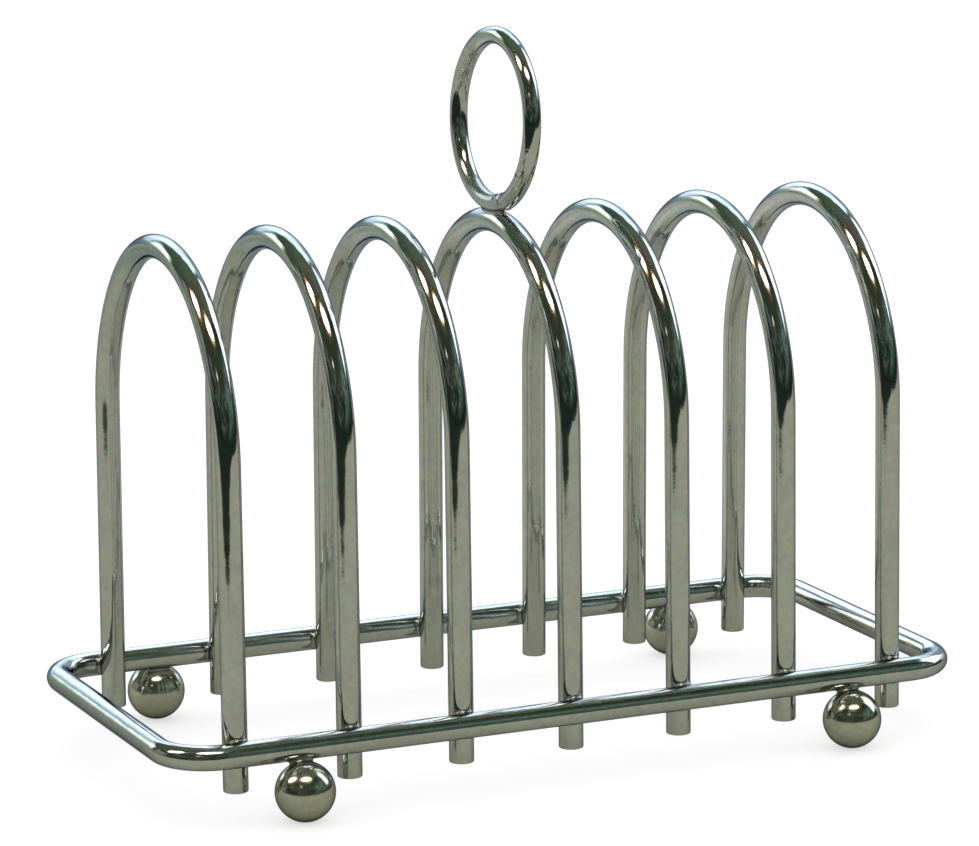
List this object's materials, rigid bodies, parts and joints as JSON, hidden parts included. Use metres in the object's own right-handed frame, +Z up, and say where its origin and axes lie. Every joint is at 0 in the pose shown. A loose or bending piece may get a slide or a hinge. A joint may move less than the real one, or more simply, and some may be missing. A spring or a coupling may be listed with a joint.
{
  "type": "toast rack",
  "caption": "Chrome-plated wire toast rack: a row of rounded arches welded inside a rounded rectangular base frame on ball feet, with a ring handle on the middle arch.",
  "frame": {"origin": "on the table plane, under the middle of the rack", "axes": "+X along the row of arches, +Y to the back, +Z up"},
  "size_m": [0.1758, 0.0954, 0.147],
  "materials": {
    "arch_chrome": "bright chromium plate on drawn 5 mm steel wire",
    "frame_chrome": "bright chromium plate on drawn 5 mm steel wire",
    "foot_chrome": "bright chromium plate on 12 mm steel balls",
    "handle_chrome": "bright chromium plate on thinner steel wire, with small pits low on the ring",
    "weld_chrome": "chromium plate over weld metal, slightly duller and uneven"
  },
  "bodies": {
    "root": {"arch_1": "arch_chrome", "arch_2": "arch_chrome", "arch_3": "arch_chrome", "arch_4": "arch_chrome", "arch_5": "arch_chrome", "arch_6": "arch_chrome", "arch_7": "arch_chrome", "base_frame": "frame_chrome", "foot_front_left": "foot_chrome", "foot_front_right": "foot_chrome", "foot_back_left": "foot_chrome", "foot_back_right": "foot_chrome", "handle_ring": "handle_chrome", "front_rail_welds": "weld_chrome", "back_rail_welds": "weld_chrome", "foot_welds": "weld_chrome", "handle_weld": "weld_chrome"}
  },
  "joints": []
}
